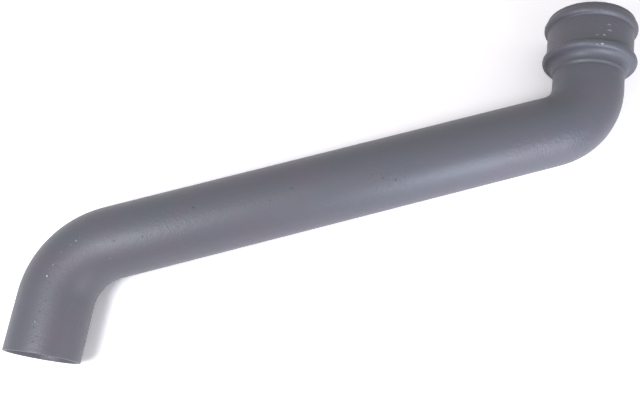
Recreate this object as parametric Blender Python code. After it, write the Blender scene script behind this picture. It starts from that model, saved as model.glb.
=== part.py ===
"""Downpipe offset bend: one iron casting that carries round rainwater pipe sideways past a plinth or eave.

The pipe runs from a plain spigot end, round one bend, along a slanting arm, round a second bend the
other way and into a beaded socket, so both ends point along Y. It lies on its side as it comes to rest,
on the spigot's barrel and the crowns of the socket's two beads. Metres, +Z up, origin at the middle of
the bottom of its bounding box.
"""

import math

import bmesh
import bpy
from mathutils import Matrix, Vector

# Pipe
PIPE_OUTSIDE_DIAMETER = 0.067
PIPE_WALL = 0.0032

# Offset: the distance between the axes of the two ends, and how far each bend turns
PROJECTION = 0.457
BEND_TURN = math.radians(66.5)
SPIGOT_BEND_RADIUS = 0.0638
SOCKET_BEND_RADIUS = 0.0532
SPIGOT_STRAIGHT = 0.0515
NECK_STRAIGHT = 0.0129

# Moulding where the neck swells into the socket: a small step, a flat and a hollow cove
STEP_RUN = 0.0020
STEP_RISE = 0.0012
FLAT_RUN = 0.0018
COVE_RUN = 0.0072

# Socket
SOCKET_DEPTH = 0.0486
SOCKET_CLEARANCE = 0.0030
COLLAR_WALL = 0.0044
SEAT_BEHIND_BEAD = 0.0043
BEAD_RADIUS = 0.0047
BEAD_STAND = 0.0036
LIP_RUN = 0.0083
LIP_STAND = 0.0012

# Edges and casting fillets
BEAD_FILLET = 0.0012
RIM_ROUNDING = 0.0016
MOUTH_CHAMFER = 0.0010
SEAT_FILLET = 0.0010
SPIGOT_OUTER_CHAMFER = 0.0005
SPIGOT_INNER_CHAMFER = 0.0004

# Facets
FACETS_AROUND = 36
OUTER_BEND_STEPS = 14
INNER_BEND_STEPS = 10
ARM_STEPS = 5
SHARP_ANGLE = math.radians(35)

# Grey primer over sand-cast iron
PRIMER_COLOUR = (0.150, 0.150, 0.168, 1.0)
PRIMER_ROUGHNESS = 0.48

pipe_radius = PIPE_OUTSIDE_DIAMETER / 2
bore_radius = pipe_radius - PIPE_WALL
step_radius = pipe_radius + STEP_RISE
socket_bore_radius = pipe_radius + SOCKET_CLEARANCE
collar_radius = socket_bore_radius + COLLAR_WALL
lip_radius = collar_radius + LIP_STAND
crown_radius = collar_radius + BEAD_STAND
bead_middle_radius = crown_radius - BEAD_RADIUS

# Stations along the pipe's centreline, from the spigot's cut end
arm_between_corners = PROJECTION / math.sin(BEND_TURN)
bend_tangents = (SPIGOT_BEND_RADIUS + SOCKET_BEND_RADIUS) * math.tan(BEND_TURN / 2)
arm_straight = arm_between_corners - bend_tangents
spigot_bend_start = SPIGOT_STRAIGHT
spigot_bend_end = spigot_bend_start + SPIGOT_BEND_RADIUS * BEND_TURN
socket_bend_start = spigot_bend_end + arm_straight
socket_bend_end = socket_bend_start + SOCKET_BEND_RADIUS * BEND_TURN
neck_end = socket_bend_end + NECK_STRAIGHT
cove_start = neck_end + STEP_RUN + FLAT_RUN
lower_bead = cove_start + COVE_RUN + BEAD_RADIUS
seat = lower_bead - SEAT_BEHIND_BEAD
mouth = seat + SOCKET_DEPTH
upper_bead = mouth - LIP_RUN


def turn_about(point, angle):
    """Rotation about the line through the point that is square to the plane of the bends."""
    return Matrix.Translation(point) @ Matrix.Rotation(angle, 4, "Z") @ Matrix.Translation(-point)


def centreline(station):
    """The pipe's frame at a station: local +Y along the pipe, local Z square to the plane of the bends."""
    along = min(station, spigot_bend_start)
    frame = Matrix.Translation((0, along, 0))
    if station > spigot_bend_start:
        centre = Vector((SPIGOT_BEND_RADIUS, spigot_bend_start, 0))
        turned = (min(station, spigot_bend_end) - spigot_bend_start) / SPIGOT_BEND_RADIUS
        frame = turn_about(centre, -turned) @ frame
    if station > spigot_bend_end:
        frame = frame @ Matrix.Translation((0, min(station, socket_bend_start) - spigot_bend_end, 0))
    if station > socket_bend_start:
        turned = (min(station, socket_bend_end) - socket_bend_start) / SOCKET_BEND_RADIUS
        centre = Vector((-SOCKET_BEND_RADIUS, 0, 0))
        frame = frame @ turn_about(centre, turned)
    if station > socket_bend_end:
        frame = frame @ Matrix.Translation((0, station - socket_bend_end, 0))
    return frame


def arc(station, radius, size, first_degrees, last_degrees, steps):
    """Section points on an arc about (station, radius); 0 degrees points to the mouth, 90 away from the axis."""
    points = []
    for step in range(steps + 1):
        angle = math.radians(first_degrees + (last_degrees - first_degrees) * step / steps)
        points.append((station + size * math.cos(angle), radius + size * math.sin(angle)))
    return points


def bead_foot(bead, foot_radius, side):
    """Centre and angle of the fillet that runs a bead out onto a cylinder of foot_radius, on one side."""
    reach = BEAD_RADIUS + BEAD_FILLET
    rise = foot_radius + BEAD_FILLET - bead_middle_radius
    offset = math.sqrt(reach**2 - rise**2)
    return bead + side * offset, foot_radius + BEAD_FILLET, math.degrees(math.asin(rise / reach))


def bends(steps):
    """Stations of both bends and of the rings along the arm, from the spigot to the neck."""
    stations = []
    for step in range(steps + 1):
        stations.append(spigot_bend_start + (spigot_bend_end - spigot_bend_start) * step / steps)
    for step in range(1, ARM_STEPS):
        stations.append(spigot_bend_end + arm_straight * step / ARM_STEPS)
    for step in range(steps + 1):
        stations.append(socket_bend_start + (socket_bend_end - socket_bend_start) * step / steps)
    return stations


def outer_section():
    """Outside of the casting as (station, radius) points, from the spigot's end face to the rim."""
    points = [(0, pipe_radius - SPIGOT_OUTER_CHAMFER), (SPIGOT_OUTER_CHAMFER, pipe_radius)]
    points += [(station, pipe_radius) for station in bends(OUTER_BEND_STEPS)]
    points += [(neck_end, pipe_radius), (neck_end + STEP_RUN, step_radius)]

    cove_rise = bead_middle_radius - step_radius
    cove_turn = 2 * math.atan2(cove_rise, COVE_RUN)
    cove_size = COVE_RUN / math.sin(cove_turn)
    points += arc(cove_start, step_radius + cove_size, cove_size, -90, math.degrees(cove_turn) - 90, 5)

    fillet_station, fillet_radius, foot_angle = bead_foot(lower_bead, collar_radius, 1)
    points += arc(lower_bead, bead_middle_radius, BEAD_RADIUS, 180, 90, 5)[1:]
    points += arc(lower_bead, bead_middle_radius, BEAD_RADIUS, 90, foot_angle, 4)[1:]
    points += arc(fillet_station, fillet_radius, BEAD_FILLET, 180 + foot_angle, 270, 2)[1:]

    fillet_station, fillet_radius, foot_angle = bead_foot(upper_bead, collar_radius, -1)
    points += arc(fillet_station, fillet_radius, BEAD_FILLET, 270, 360 - foot_angle, 2)
    lip_fillet_station, lip_fillet_radius, lip_angle = bead_foot(upper_bead, lip_radius, 1)
    points += arc(upper_bead, bead_middle_radius, BEAD_RADIUS, 180 - foot_angle, 90, 4)[1:]
    points += arc(upper_bead, bead_middle_radius, BEAD_RADIUS, 90, lip_angle, 4)[1:]
    points += arc(lip_fillet_station, lip_fillet_radius, BEAD_FILLET, 180 + lip_angle, 270, 2)[1:]
    points += arc(mouth - RIM_ROUNDING, lip_radius - RIM_ROUNDING, RIM_ROUNDING, 90, 0, 4)
    return points


def inner_section():
    """Inside of the casting as (station, radius) points, from the mouth back to the spigot's end face."""
    points = [(mouth, socket_bore_radius + MOUTH_CHAMFER), (mouth - MOUTH_CHAMFER, socket_bore_radius)]
    points += arc(seat + SEAT_FILLET, socket_bore_radius - SEAT_FILLET, SEAT_FILLET, 90, 180, 2)
    points.append((seat, bore_radius))
    points += [(station, bore_radius) for station in reversed(bends(INNER_BEND_STEPS))]
    points += [(SPIGOT_INNER_CHAMFER, bore_radius), (0, bore_radius + SPIGOT_INNER_CHAMFER)]
    return points


def loft(section):
    """One closed skin through a ring of vertices at each (station, radius) of a closed section."""
    casting = bmesh.new()
    rings = []
    for station, radius in section:
        frame = centreline(station)
        ring = []
        for facet in range(FACETS_AROUND):
            angle = 2 * math.pi * facet / FACETS_AROUND
            spoke = Vector((radius * math.sin(angle), 0, radius * math.cos(angle)))
            ring.append(casting.verts.new(frame @ spoke))
        rings.append(ring)
    for index, ring in enumerate(rings):
        following = rings[(index + 1) % len(rings)]
        for facet in range(FACETS_AROUND):
            beside = (facet + 1) % FACETS_AROUND
            casting.faces.new((ring[facet], ring[beside], following[beside], following[facet]))
    bmesh.ops.recalc_face_normals(casting, faces=casting.faces)
    return casting


def primer():
    """Satin mid-grey priming paint."""
    material = bpy.data.materials.new("grey_primer")
    material.use_nodes = True
    shader = material.node_tree.nodes["Principled BSDF"]
    shader.inputs["Base Color"].default_value = PRIMER_COLOUR
    shader.inputs["Roughness"].default_value = PRIMER_ROUGHNESS
    shader.inputs["Metallic"].default_value = 0.0
    return material


def offset_bend():
    """The casting, rolled about the pipe's axis until spigot and beads both touch the ground."""
    casting = loft(outer_section() + inner_section())
    mesh = bpy.data.meshes.new("offset_bend")
    casting.to_mesh(mesh)
    casting.free()
    mesh.shade_smooth()
    mesh.set_sharp_from_angle(angle=SHARP_ANGLE)
    mesh.materials.append(primer())

    bend = bpy.data.objects.new("offset_bend", mesh)
    bpy.context.collection.objects.link(bend)
    resting_roll = Matrix.Rotation(-math.atan2(crown_radius - pipe_radius, PROJECTION), 4, "Y")
    corners = [resting_roll @ vertex.co for vertex in mesh.vertices]
    low = Vector([min(corner[axis] for corner in corners) for axis in range(3)])
    high = Vector([max(corner[axis] for corner in corners) for axis in range(3)])
    middle = (low + high) / 2
    bend.matrix_world = Matrix.Translation((-middle.x, -middle.y, -low.z)) @ resting_roll
    return bend


for leftover in list(bpy.data.objects):
    bpy.data.objects.remove(leftover)
offset_bend()
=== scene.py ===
"""The looks of a cast-iron downpipe offset bend: the primed casting with its sandy skin, its nodules and
its sags of paint, on a white floor in soft light."""

import math

import bpy
from mathutils import Euler, Matrix, Vector


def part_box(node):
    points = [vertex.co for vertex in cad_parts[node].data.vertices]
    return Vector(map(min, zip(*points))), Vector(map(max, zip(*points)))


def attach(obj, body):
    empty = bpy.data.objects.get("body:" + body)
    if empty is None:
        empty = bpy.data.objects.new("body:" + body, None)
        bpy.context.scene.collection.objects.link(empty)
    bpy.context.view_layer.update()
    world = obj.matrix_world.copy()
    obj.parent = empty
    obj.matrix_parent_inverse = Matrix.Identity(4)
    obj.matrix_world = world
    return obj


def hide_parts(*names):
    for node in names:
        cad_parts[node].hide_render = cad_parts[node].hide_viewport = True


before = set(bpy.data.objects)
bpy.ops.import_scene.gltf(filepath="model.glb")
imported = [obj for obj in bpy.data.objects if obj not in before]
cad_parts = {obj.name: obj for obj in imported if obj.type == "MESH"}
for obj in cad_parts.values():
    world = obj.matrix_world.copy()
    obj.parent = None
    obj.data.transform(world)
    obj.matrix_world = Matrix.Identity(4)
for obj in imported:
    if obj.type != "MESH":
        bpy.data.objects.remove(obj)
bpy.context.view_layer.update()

# The primer: one coat of satin grey paint, brushed over the whole casting, inside and out. It lies on the
# sandy skin of the iron, so it shows grain, orange peel and in places the strokes of the brush. Small pits
# stay where the sand left holes, painted darker as painted shade in them, and the tops of the lumps are
# glossier and painted pale, a painted highlight for their glint.
PRIMER_COOL = (0.082, 0.090, 0.109)
PRIMER_WARM = (0.098, 0.086, 0.109)
PRIMER_ROUGHNESS = (0.44, 0.52)
PRIMER_IOR = 1.65
# Painted shade: the pits are painted this darker colour for the shade in the holes
PAINTED_PIT_SHADE = (0.040, 0.038, 0.046)
# The tops of the lumps and sags are glossier, and are painted this pale colour as a painted highlight for
# their glint
PAINTED_GLINT_COLOUR = (0.58, 0.57, 0.60)
GLOSSY_TOP_ROUGHNESS = 0.30
GLOSS_AND_GLINT_FROM = 0.25

# The marks in the paint: how many lie to the metre, and between which values of their noise they end
PATCHES_PER_METRE = 23.0
PATCH_EDGE = (0.35, 0.65)
SPECKLES_PER_METRE = 420.0
SHEEN_PER_METRE = 130.0
PEEL_PER_METRE = 330.0
GRAIN_PER_METRE = 850.0
STROKES_PER_METRE = (800, 230, 230)
BRUSHED_PER_METRE = 11.0
BRUSHED_EDGE = (0.40, 0.62)
PIT_CELLS_PER_METRE = 90.0
PIT_EDGE = (0.10, 0.05)
PIT_CHOICE_SCALE = 37.0
PIT_CHOICE = (0.66, 0.68)

# How deep the relief is, and how much each mark counts for in it and in the colour
RELIEF_DEPTH = 0.0004
PEEL_HEIGHT = 0.5
STROKE_HEIGHT = 0.8
GRAIN_HEIGHT = 0.55
UNBRUSHED_SHARE = 0.15
SPECKLE_SHARE = 0.3
# How strongly the pits take their painted shade
PIT_SHADE_STRENGTH = 0.6
GLOSSY_TOP_SMOOTHING = 0.8


class Value:
    """An output of a node, the first unless another is named, that can be reckoned with: an expression
    adds its Math nodes to the tree."""

    def __init__(self, tree, node, name=0):
        self.tree = tree
        self.node = node
        self.name = name

    def __getitem__(self, name):
        return Value(self.tree, self.node, name)

    @property
    def output(self):
        return self.node.outputs[self.name]

    def math(self, operation, *others):
        sockets = dict(enumerate((self, *others)))
        return made(self.tree, "ShaderNodeMath", {"operation": operation}, sockets)

    def vector(self, operation, *others):
        sockets = dict(enumerate((self, *others)))
        return made(self.tree, "ShaderNodeVectorMath", {"operation": operation}, sockets)

    def scaled(self, factor):
        sockets = {0: self, "Scale": factor}
        return made(self.tree, "ShaderNodeVectorMath", {"operation": "SCALE"}, sockets)

    def __add__(self, other):
        return self.math("ADD", other)

    __radd__ = __add__

    def __sub__(self, other):
        return self.math("SUBTRACT", other)

    def __rsub__(self, other):
        return made(self.tree, "ShaderNodeMath", {"operation": "SUBTRACT"}, {0: other, 1: self})

    def __mul__(self, other):
        return self.math("MULTIPLY", other)

    __rmul__ = __mul__

    def __truediv__(self, other):
        return self.math("DIVIDE", other)

    def ramp(self, low, high):
        """0 up to low, 1 from high on, smooth between; the other way round where low is over high."""
        settings = {"interpolation_type": "SMOOTHSTEP"}
        return made(self.tree, "ShaderNodeMapRange", settings, {"Value": self, 1: low, 2: high})


def made(tree, kind, settings=None, sockets=None):
    """A node of a kind, with its settings first, then what its sockets get: a number or colour, a link,
    or a list of links for a socket that takes several."""
    node = tree.nodes.new(kind)
    for name, setting in (settings or {}).items():
        setattr(node, name, setting)
    for name, given in (sockets or {}).items():
        for each in given if isinstance(given, list) else [given]:
            if isinstance(each, Value):
                tree.links.new(each.output, node.inputs[name])
            else:
                node.inputs[name].default_value = each
    return Value(tree, node)


def noise(tree, place, scale, detail=2.0):
    """Smooth noise from 0 to 1 at a place, with scale patches to the metre."""
    sockets = {"Vector": place, "Scale": scale, "Detail": detail, "Roughness": 0.5}
    return made(tree, "ShaderNodeTexNoise", None, sockets)["Fac"]


def mixed(tree, factor, first, second):
    """The first colour where the factor is 0, the second where it is 1."""
    first, second = (colour if isinstance(colour, Value) else (*colour, 1) for colour in (first, second))
    return made(tree, "ShaderNodeMix", {"data_type": "RGBA"}, {0: factor, 6: first, 7: second})[2]


def primer_material():
    """Satin grey primer over the sandy skin of a casting. The mesh says how glossy it is at each point and
    how much painted highlight it carries, and where the point would lie if the pipe were straight, so that
    the brush strokes follow the bends."""
    material = bpy.data.materials.new("primed_iron")
    material.use_nodes = True
    tree = material.node_tree
    tree.nodes.clear()
    place = made(tree, "ShaderNodeTexCoord")["Object"]
    straightened = made(tree, "ShaderNodeAttribute", {"attribute_name": "straightened"})["Vector"]
    # How glossy each point is and how much painted highlight it carries, as the mesh keeps it
    rubbed = made(tree, "ShaderNodeAttribute", {"attribute_name": "rubbed"})["Fac"].ramp(GLOSS_AND_GLINT_FROM, 1.0)

    cells = made(tree, "ShaderNodeTexVoronoi", None, {"Vector": place, "Scale": PIT_CELLS_PER_METRE})
    chosen = noise(tree, cells["Position"], PIT_CHOICE_SCALE, detail=0.0).ramp(*PIT_CHOICE)
    pits = cells["Distance"].ramp(*PIT_EDGE) * chosen

    patches = noise(tree, place, PATCHES_PER_METRE, detail=3.0).ramp(*PATCH_EDGE)
    speckles = noise(tree, place, SPECKLES_PER_METRE)
    warmth = patches * (1 - SPECKLE_SHARE) + speckles * SPECKLE_SHARE
    colour = mixed(tree, warmth, PRIMER_COOL, PRIMER_WARM)
    # Painted shade: the pits turn darker, for the shade that falls in the holes
    colour = mixed(tree, pits * PIT_SHADE_STRENGTH, colour, PAINTED_PIT_SHADE)
    # Painted highlight: the tops of the lumps and sags turn pale where they would glint
    colour = mixed(tree, rubbed, colour, PAINTED_GLINT_COLOUR)

    smooth, rough = PRIMER_ROUGHNESS
    roughness = noise(tree, place, SHEEN_PER_METRE) * (rough - smooth) + smooth
    roughness = roughness * (1 - rubbed) + rubbed * GLOSSY_TOP_ROUGHNESS

    peel = noise(tree, place, PEEL_PER_METRE, detail=1.0)
    grain = noise(tree, place, GRAIN_PER_METRE, detail=1.0)
    strokes = noise(tree, straightened.vector("MULTIPLY", STROKES_PER_METRE), 1.0, detail=1.0)
    brushed = noise(tree, place, BRUSHED_PER_METRE, detail=1.0).ramp(*BRUSHED_EDGE)
    brushed = brushed * (1 - UNBRUSHED_SHARE) + UNBRUSHED_SHARE
    sandy = (peel * PEEL_HEIGHT + strokes * STROKE_HEIGHT) * brushed + grain * GRAIN_HEIGHT
    height = sandy * (1 - rubbed * GLOSSY_TOP_SMOOTHING) - pits
    sockets = {"Strength": 1.0, "Distance": RELIEF_DEPTH, "Height": height}
    relief = made(tree, "ShaderNodeBump", None, sockets)
    shader = made(tree, "ShaderNodeBsdfPrincipled", None, {
        "Base Color": colour, "Roughness": roughness, "Metallic": 0.0, "IOR": PRIMER_IOR, "Normal": relief,
    })
    made(tree, "ShaderNodeOutputMaterial", None, {"Surface": shader})
    return material


primer = primer_material()

# The casting: iron run into a sand mould round a core, so one wall turns two bends and swells into a
# socket with two half-round beads. A tree of Geometry Nodes rounds the corners of the pipe's line, then
# carries a turned section along it, ring by ring, out over the skin and back through the bore.
PIPE_RADIUS = 0.0335
BORE_RADIUS = 0.0303
PROJECTION = 0.457
BEND_TURN = math.radians(66.5)
SPIGOT_BEND_RADIUS = 0.0638
SOCKET_BEND_RADIUS = 0.0532
SPIGOT_STRAIGHT = 0.0515
NECK_STRAIGHT = 0.0129

STEP_RUN = 0.0020
STEP_RISE = 0.0012
FLAT_RUN = 0.0018
COVE_RUN = 0.0072
SOCKET_DEPTH = 0.0486
SOCKET_BORE_RADIUS = 0.0365
COLLAR_RADIUS = 0.0409
LIP_RADIUS = 0.0421
CROWN_RADIUS = 0.0445
BEAD_RADIUS = 0.0047
SEAT_BEHIND_BEAD = 0.0043
LIP_RUN = 0.0083
BEAD_FILLET = 0.0012
RIM_ROUNDING = 0.0016
MOUTH_CHAMFER = 0.0010
SEAT_FILLET = 0.0010
CUT_EDGE = 0.0005
QUIRK_RUN = 0.0022
QUIRK_DEPTH = 0.0002

# The most that two rings of the section lie apart, by part of it
PIPE_GAP = 0.0014
MOULDING_GAP = 0.0007
COLLAR_GAP = 0.0009
FILLET_GAP = 0.0004
END_FACE_GAP = 0.0012
CUT_EDGE_GAP = 0.0003
SOCKET_BORE_GAP = 0.0040
SEAT_GAP = 0.0015
SEAT_FILLET_GAP = 0.0005
BORE_GAP = 0.0060
VERTICES_AROUND = 132
BEND_FACETS = 120
SEAM_WIDTH = 1e-6

# The sand's relief, which only takes the skin in, and the lumps, which stand on it. A strewn lump's size
# is its length, its width and its height.
SAND_RELIEF = 0.00026
PAINT_SKIN = 0.0001
COARSE_SAND_PER_METRE = 60.0
FINE_SAND_PER_METRE = 230.0
COARSE_SAND_SHARE = 0.3
LUMP_RINGS = 4
LUMP_SIDES = 12
LUMP_SUNK = 0.00003
STREWN_PER_SQUARE_METRE = 900.0
STREWN_SMALLEST = (0.0014, 0.0014, 0.00006)
STREWN_LARGEST = (0.0030, 0.0026, 0.00022)
BARE_BY_SPIGOT_END = 0.003
BARE_BY_MOUTH = 0.004
STREWN_SEED = 7

# Each lump's station along the pipe in mm, its turn round it in degrees from the top, its size along and
# across and its height in mm, and how glossy its top is and how much painted highlight it carries, from 0
# to 1. First the nodules by the spigot's bend and along the arm, then the sags of paint on the socket.
NODULES = (
    (65.0, -4, 3.2, 2.8, 0.80, 1.00),
    (75.5, -5, 3.8, 2.0, 0.60, 0.62),
    (102.0, -7, 3.0, 2.4, 0.60, 0.66),
    (71.0, -7, 2.2, 2.0, 0.40, 0.38),
    (97.0, -7, 2.4, 2.0, 0.50, 0.48),
    (106.0, -9, 2.2, 1.8, 0.45, 0.42),
    (26.0, -2, 3.2, 3.0, 0.65, 0.68),
    (20.5, -2, 2.6, 2.2, 0.55, 0.50),
    (45.0, -3, 2.8, 2.2, 0.50, 0.46),
    (44.0, 5, 2.6, 2.2, 0.45, 0.42),
    (59.5, 3, 2.6, 2.2, 0.45, 0.42),
    (87.5, -9, 2.6, 2.0, 0.45, 0.44),
    (124.5, 41, 3.4, 2.8, 0.55, 0.50),
    (156.5, 20, 2.8, 2.4, 0.45, 0.40),
    (271.0, 15, 2.8, 2.4, 0.45, 0.40),
    (9.0, 2, 3.0, 2.2, 0.50, 0.46),
    (13.5, 6, 2.4, 2.0, 0.40, 0.38),
    (34.0, 1, 2.2, 2.0, 0.40, 0.38),
    (132.0, 16, 2.6, 2.4, 0.35, 0.34),
    (381.0, 24, 3.0, 2.6, 0.40, 0.38),
)
PAINT_SAGS = (
    (635.5, -2, 3.8, 9.0, 0.40, 0.88),
    (635.0, -8, 3.8, 7.0, 0.38, 0.60),
    (646.0, -8, 3.4, 10.0, 0.52, 0.56),
    (646.5, 1, 3.8, 7.5, 0.62, 0.68),
    (652.5, 8, 3.6, 12.0, 0.58, 0.64),
    (658.5, 7, 3.6, 11.0, 0.52, 0.60),
    (671.5, -5, 3.2, 9.0, 0.40, 0.46),
    (632.0, 17, 3.4, 5.0, 0.40, 0.50),
    (655.0, -3, 3.2, 10.0, 0.40, 0.36),
    (650.0, 16, 3.2, 9.0, 0.36, 0.30),
    (661.5, 14, 3.2, 10.0, 0.38, 0.32),
    (641.5, 12, 3.2, 7.5, 0.34, 0.30),
)

# Stations along the pipe's centreline, from the spigot's cut end
corner_reach = math.tan(BEND_TURN / 2)
spigot_corner = SPIGOT_STRAIGHT + SPIGOT_BEND_RADIUS * corner_reach
spigot_bend_end = SPIGOT_STRAIGHT + SPIGOT_BEND_RADIUS * BEND_TURN
arm_between_corners = PROJECTION / math.sin(BEND_TURN)
arm_straight = arm_between_corners - (SPIGOT_BEND_RADIUS + SOCKET_BEND_RADIUS) * corner_reach
socket_bend_end = spigot_bend_end + arm_straight + SOCKET_BEND_RADIUS * BEND_TURN
neck_end = socket_bend_end + NECK_STRAIGHT
cove_start = neck_end + STEP_RUN + FLAT_RUN
lower_bead = cove_start + COVE_RUN + BEAD_RADIUS
seat = lower_bead - SEAT_BEHIND_BEAD
mouth = seat + SOCKET_DEPTH
upper_bead = mouth - LIP_RUN


def arc(station, radius, size, first, last, gap=MOULDING_GAP):
    """Section points on an arc, its angles in degrees: 0 points to the mouth, 90 away from the axis."""
    steps = max(2, math.ceil(abs(math.radians(last - first)) * size / gap))
    points = []
    for step in range(steps + 1):
        angle = math.radians(first + (last - first) * step / steps)
        points.append((station + size * math.cos(angle), radius + size * math.sin(angle)))
    return points


def straight(start, end, gap=MOULDING_GAP):
    """Section points on a line from start to end, (station, radius) each, both ends included."""
    steps = max(1, math.ceil(math.dist(start, end) / gap))
    return [tuple(a + (b - a) * step / steps for a, b in zip(start, end)) for step in range(steps + 1)]


def bead_foot(bead, foot_radius, side):
    """Centre and angle of the fillet that runs a bead out onto a cylinder, on one side of it."""
    reach = BEAD_RADIUS + BEAD_FILLET
    rise = foot_radius + BEAD_FILLET - (CROWN_RADIUS - BEAD_RADIUS)
    return bead + side * math.sqrt(reach**2 - rise**2), math.degrees(math.asin(rise / reach))


def turned_section():
    """The wall's section as (station, radius) points: out over the skin, back through the bore."""
    outer = straight((0, BORE_RADIUS + CUT_EDGE), (0, PIPE_RADIUS - CUT_EDGE), END_FACE_GAP)
    outer += arc(CUT_EDGE, PIPE_RADIUS - CUT_EDGE, CUT_EDGE, 180, 90, CUT_EDGE_GAP)[1:]

    # A shallow hollow at the foot of the step, the step, and the flat above it
    quirk_start = (neck_end - QUIRK_RUN, PIPE_RADIUS)
    quirk = (neck_end, PIPE_RADIUS - QUIRK_DEPTH)
    step_radius = PIPE_RADIUS + STEP_RISE
    step_top = (neck_end + STEP_RUN, step_radius)
    outer += straight((CUT_EDGE, PIPE_RADIUS), quirk_start, PIPE_GAP)[1:]
    outer += straight(quirk_start, quirk)[1:]
    outer += straight(quirk, step_top)[1:]
    outer += straight(step_top, (cove_start, step_radius))[1:]

    # The cove leaves the flat level and runs out level onto the lower bead
    bead_middle = CROWN_RADIUS - BEAD_RADIUS
    reach, rise = COVE_RUN + BEAD_RADIUS, bead_middle - step_radius
    cove_size = (reach**2 + rise**2 - BEAD_RADIUS**2) / (2 * (rise + BEAD_RADIUS))
    meets_bead = math.degrees(math.atan2(rise - cove_size, reach))
    outer += arc(cove_start, step_radius + cove_size, cove_size, -90, meets_bead)[1:]

    lower_foot, angle = bead_foot(lower_bead, COLLAR_RADIUS, 1)
    outer += arc(lower_bead, bead_middle, BEAD_RADIUS, 180 + meets_bead, angle)[1:]
    outer += arc(lower_foot, COLLAR_RADIUS + BEAD_FILLET, BEAD_FILLET, 180 + angle, 270, FILLET_GAP)[1:]
    upper_foot, angle = bead_foot(upper_bead, COLLAR_RADIUS, -1)
    outer += straight((lower_foot, COLLAR_RADIUS), (upper_foot, COLLAR_RADIUS), COLLAR_GAP)[1:]
    outer += arc(upper_foot, COLLAR_RADIUS + BEAD_FILLET, BEAD_FILLET, 270, 360 - angle, FILLET_GAP)[1:]
    lip_foot, lip_angle = bead_foot(upper_bead, LIP_RADIUS, 1)
    outer += arc(upper_bead, bead_middle, BEAD_RADIUS, 180 - angle, lip_angle)[1:]
    outer += arc(lip_foot, LIP_RADIUS + BEAD_FILLET, BEAD_FILLET, 180 + lip_angle, 270, FILLET_GAP)[1:]
    outer += arc(mouth - RIM_ROUNDING, LIP_RADIUS - RIM_ROUNDING, RIM_ROUNDING, 90, 0, FILLET_GAP)

    seat_corner = SOCKET_BORE_RADIUS - SEAT_FILLET
    chamfer_start = (mouth, SOCKET_BORE_RADIUS + MOUTH_CHAMFER)
    chamfer_end = (mouth - MOUTH_CHAMFER, SOCKET_BORE_RADIUS)
    inner = straight((mouth, LIP_RADIUS - RIM_ROUNDING), chamfer_start, END_FACE_GAP)[1:]
    inner += straight(chamfer_end, (seat + SEAT_FILLET, SOCKET_BORE_RADIUS), SOCKET_BORE_GAP)
    inner += arc(seat + SEAT_FILLET, seat_corner, SEAT_FILLET, 90, 180, SEAT_FILLET_GAP)[1:]
    inner += straight((seat, seat_corner), (seat, BORE_RADIUS), SEAT_GAP)[1:]
    inner += straight((seat, BORE_RADIUS), (CUT_EDGE, BORE_RADIUS), BORE_GAP)[1:]
    return outer + inner


def points_object(name, points, edges=(), faces=()):
    """An object that only holds points, edges and faces for a tree of nodes to read."""
    mesh = bpy.data.meshes.new(name)
    mesh.from_pydata(points, edges, faces)
    holder = bpy.data.objects.new(name, mesh)
    bpy.context.collection.objects.link(holder)
    return holder


def new_tree(name, inputs):
    """A tree of Geometry Nodes with these named inputs; gives the tree and its inputs' values."""
    tree = bpy.data.node_groups.new(name, "GeometryNodeTree")
    tree.interface.new_socket("Geometry", in_out="INPUT", socket_type="NodeSocketGeometry")
    tree.interface.new_socket("Geometry", in_out="OUTPUT", socket_type="NodeSocketGeometry")
    for label, kind in inputs.items():
        tree.interface.new_socket(label, in_out="INPUT", socket_type="NodeSocket" + kind)
    return tree, made(tree, "NodeGroupInput")


def run_tree(holder, tree, settings):
    """The plain mesh that the tree makes of the holder, with its named inputs set."""
    modifier = holder.modifiers.new(tree.name, "NODES")
    modifier.node_group = tree
    for item in tree.interface.items_tree:
        if item.in_out == "INPUT" and item.name in settings:
            modifier[item.identifier] = settings[item.name]
    graph = bpy.context.evaluated_depsgraph_get()
    mesh = bpy.data.meshes.new_from_object(holder.evaluated_get(graph))
    holder.modifiers.remove(modifier)
    return mesh


def pipe_line(tree, given):
    """The pipe's centreline inside a tree: the holder's line with its two corners rounded."""
    spigot_radius, socket_radius = given["Spigot bend radius"], given["Socket bend radius"]
    first_corner = made(tree, "GeometryNodeInputIndex").math("COMPARE", 1, 0.5)
    radius = socket_radius + first_corner * (spigot_radius - socket_radius)
    line = made(tree, "GeometryNodeMeshToCurve", None, {"Mesh": given["Geometry"]})
    sockets = {"Curve": line, "Count": BEND_FACETS, "Radius": radius}
    return made(tree, "GeometryNodeFilletCurve", {"mode": "POLY"}, sockets)


def on_pipe(tree, line, station, radius, turn):
    """The point at a station along the pipe, a radius out from its line and a turn round it, and the
    direction from the line to that point. A turn of 0 is square to the plane of the bends."""
    sample = made(tree, "GeometryNodeSampleCurve", {"mode": "LENGTH"}, {"Curves": line, "Length": station})
    up = made(tree, "ShaderNodeCombineXYZ", None, {"Z": 1.0})
    side = sample["Tangent"].vector("CROSS_PRODUCT", up)
    angle = turn * math.tau
    spoke = up.scaled(angle.math("COSINE")).vector("ADD", side.scaled(angle.math("SINE")))
    return sample["Position"].vector("ADD", spoke.scaled(radius)), spoke


def held_by(tree, holder):
    """The geometry of an object that one of the tree's inputs names."""
    return made(tree, "GeometryNodeObjectInfo", None, {"Object": holder})["Geometry"]


def moved(tree, geometry, position):
    """The geometry with its points at other positions."""
    return made(tree, "GeometryNodeSetPosition", None, {"Geometry": geometry, "Position": position})


def turned_over(tree, mesh):
    """The mesh with its faces turned to point outwards."""
    return made(tree, "GeometryNodeFlipFaces", None, {"Mesh": mesh})


def stored(tree, geometry, name, value, kind="FLOAT"):
    """The geometry with a value kept at each point under a name."""
    sockets = {"Geometry": geometry, "Name": name, "Value": value}
    return made(tree, "GeometryNodeStoreNamedAttribute", {"data_type": kind}, sockets)


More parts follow.
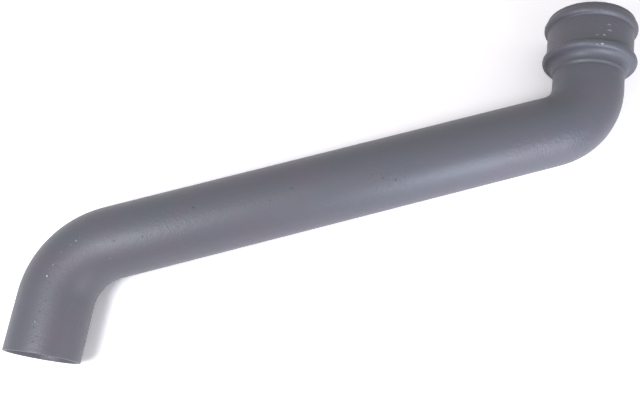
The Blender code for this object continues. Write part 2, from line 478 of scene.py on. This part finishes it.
def kept(tree, name, kind="FLOAT"):
    """What is kept at each point under a name."""
    return made(tree, "GeometryNodeInputNamedAttribute", {"data_type": kind}, {"Name": name})["Attribute"]


def parts(tree, vector):
    """A vector's three numbers, by name."""
    return made(tree, "ShaderNodeSeparateXYZ", None, {0: vector})


def sand_depth(tree, given, place):
    """How far the sand's relief takes the skin in at a place."""
    coarse = noise(tree, place, COARSE_SAND_PER_METRE, detail=1.0)
    fine = noise(tree, place, FINE_SAND_PER_METRE, detail=1.0)
    sand = coarse * COARSE_SAND_SHARE + fine * (1 - COARSE_SAND_SHARE)
    return sand * given["Sand relief"] + PAINT_SKIN


def casting_skin(tree, given, line):
    """The skin as carried round the pipe's line, with the relief of the sand. Each point keeps its radius,
    and where it would lie if the pipe were straight."""
    position = made(tree, "GeometryNodeInputPosition")
    section = held_by(tree, given["Section"])
    count = made(tree, "GeometryNodeAttributeDomainSize", None, {"Geometry": section})["Point Count"]
    grid = made(tree, "GeometryNodeMeshGrid", None, {
        "Size X": 1.0, "Size Y": 1.0, "Vertices X": count + 1, "Vertices Y": given["Around"] + 1,
    })
    place = parts(tree, position)
    ring = ((place["X"] + 0.5) * count).math("ROUND").math("MODULO", count)
    sockets = {"Geometry": section, "Value": position, "Index": ring}
    corner = parts(tree, made(tree, "GeometryNodeSampleIndex", {"data_type": "FLOAT_VECTOR"}, sockets))
    station, radius = corner["X"], corner["Y"]
    point, _ = on_pipe(tree, line, station, radius, place["Y"])
    angle = place["Y"] * math.tau
    straightened = made(tree, "ShaderNodeCombineXYZ", None, {
        "X": station, "Y": radius * angle.math("SINE"), "Z": radius * angle.math("COSINE"),
    })

    skin = stored(tree, grid, "radius", radius)
    skin = stored(tree, skin, "straightened", straightened, "FLOAT_VECTOR")
    skin = moved(tree, skin, point)
    skin = made(tree, "GeometryNodeMergeByDistance", None, {"Geometry": skin, "Distance": SEAM_WIDTH})
    skin = turned_over(tree, skin)
    inward = sand_depth(tree, given, position) * -1
    offset = made(tree, "GeometryNodeInputNormal").scaled(inward)
    return made(tree, "GeometryNodeSetPosition", None, {"Geometry": skin, "Offset": offset})


def placed_lumps(tree, given, line):
    """The lumps of the tables. Each is put on a flat sheet that has the station along X, the turn along Y
    and the height along Z, and the sheet is then wrapped round the pipe."""
    position = made(tree, "GeometryNodeInputPosition")
    place = parts(tree, position)
    size = kept(tree, "size", "FLOAT_VECTOR")
    sheet = stored(tree, held_by(tree, given["Lumps"]), "radius", place["Z"])
    sheet = moved(tree, sheet, position.vector("MULTIPLY", (1, 1, 0)))
    sockets = {"Points": sheet, "Instance": held_by(tree, given["Lump"]), "Scale": size}
    lumps = made(tree, "GeometryNodeInstanceOnPoints", None, sockets)
    lumps = made(tree, "GeometryNodeRealizeInstances", None, {"Geometry": lumps})
    # Gloss and painted highlight grow towards each lump's top, as far as its table says
    rubbed = place["Z"] / parts(tree, size)["Z"] * kept(tree, "bareness")
    lumps = stored(tree, lumps, "rubbed", rubbed)
    foot, spoke = on_pipe(tree, line, place["X"], kept(tree, "radius"), place["Y"])
    stand = place["Z"] - sand_depth(tree, given, foot) - LUMP_SUNK
    return turned_over(tree, moved(tree, lumps, foot.vector("ADD", spoke.scaled(stand))))


def strewn_lumps(tree, given, skin):
    """Small lumps strewn at random over the outside of the skin, clear of the two ends."""
    station = parts(tree, kept(tree, "straightened", "FLOAT_VECTOR"))["X"]
    outside = kept(tree, "radius").math("GREATER_THAN", PIPE_RADIUS - CUT_EDGE / 2)
    outside = outside * station.math("GREATER_THAN", BARE_BY_SPIGOT_END)
    outside = outside * station.math("LESS_THAN", mouth - BARE_BY_MOUTH)
    seed = given["Seed"]
    sockets = {"Mesh": skin, "Selection": outside, "Density": given["Strewn lumps"], "Seed": seed}
    spots = made(tree, "GeometryNodeDistributePointsOnFaces", None, sockets)
    sockets = {0: STREWN_SMALLEST, 1: STREWN_LARGEST, "Seed": seed}
    size = made(tree, "FunctionNodeRandomValue", {"data_type": "FLOAT_VECTOR"}, sockets)
    return made(tree, "GeometryNodeInstanceOnPoints", None, {
        "Points": spots["Points"],
        "Instance": held_by(tree, given["Lump"]),
        "Rotation": spots["Rotation"],
        "Scale": size,
    })


def casting_tree():
    """The whole casting: its skin, the lumps of the tables and the strewn ones, smooth and primed."""
    tree, given = new_tree("cast_pipe", {
        "Section": "Object",
        "Lumps": "Object",
        "Lump": "Object",
        "Around": "Int",
        "Spigot bend radius": "Float",
        "Socket bend radius": "Float",
        "Sand relief": "Float",
        "Strewn lumps": "Float",
        "Seed": "Int",
        "Material": "Material",
    })
    line = pipe_line(tree, given)
    skin = casting_skin(tree, given, line)
    pieces = [strewn_lumps(tree, given, skin), placed_lumps(tree, given, line), skin]
    whole = made(tree, "GeometryNodeJoinGeometry", None, {"Geometry": pieces})
    whole = made(tree, "GeometryNodeRealizeInstances", None, {"Geometry": whole})
    whole = made(tree, "GeometryNodeSetShadeSmooth", None, {"Geometry": whole})
    sockets = {"Geometry": whole, "Material": given["Material"]}
    whole = made(tree, "GeometryNodeSetMaterial", None, sockets)
    made(tree, "NodeGroupOutput", None, {"Geometry": whole})
    return tree


def lump_object():
    """A lump a unit wide and high, which runs out level at its foot."""
    points, faces = [(0, 0, 1)], []
    for ring in range(1, LUMP_RINGS + 1):
        out = ring / LUMP_RINGS
        for step in range(LUMP_SIDES):
            angle = math.tau * step / LUMP_SIDES
            height = 0.5 + 0.5 * math.cos(math.pi * out)
            points.append((0.5 * out * math.cos(angle), 0.5 * out * math.sin(angle), height))
    for step in range(LUMP_SIDES):
        beside = (step + 1) % LUMP_SIDES
        faces.append((0, 1 + step, 1 + beside))
        for ring in range(LUMP_RINGS - 1):
            near, far = 1 + ring * LUMP_SIDES, 1 + (ring + 1) * LUMP_SIDES
            faces.append((near + step, far + step, far + beside, near + beside))
    return points_object("lump", points, faces=faces)


def outside_radius(section, station):
    """The skin's radius at a station, read from the turned section."""
    for (start, low), (end, high) in zip(section, section[1:]):
        if start <= station < end:
            return low + (high - low) * (station - start) / (end - start)
    return section[0][1]


def lumps_object(section):
    """Where the lumps of the tables lie, how big they are, and how glossy their tops are and how much
    painted highlight these carry, as points for the tree. A lump on a bead stands on the lower of the
    radii at its two ends."""
    places, sizes, bareness = [], [], []
    for station, turn, along, across, height, gloss_and_glint in NODULES + PAINT_SAGS:
        middle = station / 1000
        radius = outside_radius(section, middle)
        foot = min(radius, *(outside_radius(section, middle + side * along / 2000) for side in (-1, 1)))
        places.append((middle, turn / 360, foot))
        sizes.append((along / 1000, across / 1000 / (math.tau * radius), height / 1000 + radius - foot))
        bareness.append(gloss_and_glint)
    holder = points_object("lumps", places)
    kept_sizes = holder.data.attributes.new("size", "FLOAT_VECTOR", "POINT")
    kept_sizes.data.foreach_set("vector", [number for size in sizes for number in size])
    holder.data.attributes.new("bareness", "FLOAT", "POINT").data.foreach_set("value", bareness)
    return holder


def pipe_object():
    """The pipe's line with sharp corners, flat and from the spigot's end, for the tree to round."""
    socket_corner = spigot_corner + PROJECTION / math.tan(BEND_TURN)
    socket_leg = SOCKET_BEND_RADIUS * corner_reach + mouth - socket_bend_end
    points = [
        (0, 0, 0),
        (0, spigot_corner, 0),
        (PROJECTION, socket_corner, 0),
        (PROJECTION, socket_corner + socket_leg, 0),
    ]
    return points_object("casting", points, [(0, 1), (1, 2), (2, 3)])


def resting_place():
    """Moves the flat pipe, which starts at the spigot's end, to where the casting lies in the frame."""
    roll = Matrix.Rotation(-math.atan2(CROWN_RADIUS - PIPE_RADIUS, PROJECTION), 4, "Y")
    lowest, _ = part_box("offset_bend")
    spigot_axis = lowest + Vector((PIPE_RADIUS, 0, PIPE_RADIUS)) * roll[0][0]
    return Matrix.Translation(spigot_axis) @ roll


section = turned_section()
section_holder = points_object("turned_section", [(*point, 0) for point in section])
lumps_holder = lumps_object(section)
lump_holder = lump_object()
casting = pipe_object()
casting.data = run_tree(casting, casting_tree(), {
    "Section": section_holder,
    "Lumps": lumps_holder,
    "Lump": lump_holder,
    "Around": VERTICES_AROUND,
    "Spigot bend radius": SPIGOT_BEND_RADIUS,
    "Socket bend radius": SOCKET_BEND_RADIUS,
    "Sand relief": SAND_RELIEF,
    "Strewn lumps": STREWN_PER_SQUARE_METRE,
    "Seed": STREWN_SEED,
    "Material": primer,
})
for holder in (section_holder, lumps_holder, lump_holder):
    bpy.data.objects.remove(holder)
# The tree's mesh brings an empty material slot along from the holder's
while not casting.data.materials[0]:
    casting.data.materials.pop(index=0)
casting.data.transform(resting_place())
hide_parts("offset_bend")
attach(casting, "root")

# The floor: a wide, plain sheet of white paper under and behind the casting. It takes the soft shadow of
# the pipe; what sees it directly or by reflection gets it whiter than it lights the casting.
FLOOR_SIZE = 6.0
FLOOR_COLOUR = (0.68, 0.68, 0.68)
FLOOR_SHOWN = (1.46, 1.42, 1.42)


def shown_or_lit(tree, shown, lit):
    """One colour for what the camera, a reflection or a view through glass shows, and another for the
    light that falls from it on other things."""
    path = made(tree, "ShaderNodeLightPath")
    seen = path["Is Camera Ray"].math("MAXIMUM", path["Is Glossy Ray"])
    seen = seen.math("MAXIMUM", path["Is Transmission Ray"])
    return mixed(tree, seen, lit, shown)


def floor_material():
    """White paper."""
    material = bpy.data.materials.new("white_floor")
    material.use_nodes = True
    tree = material.node_tree
    tree.nodes.clear()
    colour = shown_or_lit(tree, FLOOR_SHOWN, FLOOR_COLOUR)
    paper = made(tree, "ShaderNodeBsdfDiffuse", None, {"Color": colour})
    made(tree, "ShaderNodeOutputMaterial", None, {"Surface": paper})
    return material


bpy.ops.mesh.primitive_plane_add(size=FLOOR_SIZE)
floor = bpy.context.object
floor.name = "floor"
floor.data.materials.append(floor_material())

# The light: a soft box over the spigot, a smaller one low at the front right, which draws the bright band
# along the lower half of the arm, and an even pale surround.
SURROUND_SHOWN = (1, 1, 1)
SURROUND_LIT = (0.50, 0.50, 0.50)


def soft_box(name, place, aim, size, power, colour):
    """A square lamp that stands at a place and faces a point, out of the camera's sight."""
    lamp = bpy.data.lights.new(name, "AREA")
    lamp.size = size
    lamp.energy = power
    lamp.color = colour
    box = bpy.data.objects.new(name, lamp)
    bpy.context.collection.objects.link(box)
    box.location = place
    box.rotation_euler = (Vector(aim) - Vector(place)).to_track_quat("-Z", "Y").to_euler()
    box.visible_camera = False


soft_box(
    "spigot_lamp", place=(-0.34, -0.37, 0.665), aim=(0, 0, 0.03),
    size=0.25, power=3.75, colour=(1.0, 1.02, 1.09),
)
soft_box(
    "socket_lamp", place=(0.42, -0.325, 0.26), aim=(0.41, 0.07, -0.025),
    size=0.21, power=2.1, colour=(0.93, 0.99, 1.16),
)
surround = bpy.data.worlds.new("surround")
surround.use_nodes = True
sky = surround.node_tree
sky.nodes.clear()
pale = made(sky, "ShaderNodeBackground", None, {"Color": shown_or_lit(sky, SURROUND_SHOWN, SURROUND_LIT)})
made(sky, "ShaderNodeOutputWorld", None, {"Surface": pale})
bpy.context.scene.world = surround

# The camera: it looks down from over the spigot's side of the casting, a little under 0.8 m from its
# middle, turned so that the arm climbs to the right as it does in the photograph.
CAMERA_PLACE = (0.0, -0.2491, 0.7416)
CAMERA_TURN = (17.485, -1.445, 8.529)
CAMERA_LENS = 45.0
CAMERA_SENSOR = 36.0

lens = bpy.data.cameras.new("camera")
lens.lens = CAMERA_LENS
lens.sensor_width = CAMERA_SENSOR
camera = bpy.data.objects.new("camera", lens)
bpy.context.collection.objects.link(camera)
camera.location = CAMERA_PLACE
camera.rotation_euler = Euler([math.radians(angle) for angle in CAMERA_TURN], "XYZ")
bpy.context.scene.camera = camera
bpy.context.scene.view_settings.view_transform = "Standard"
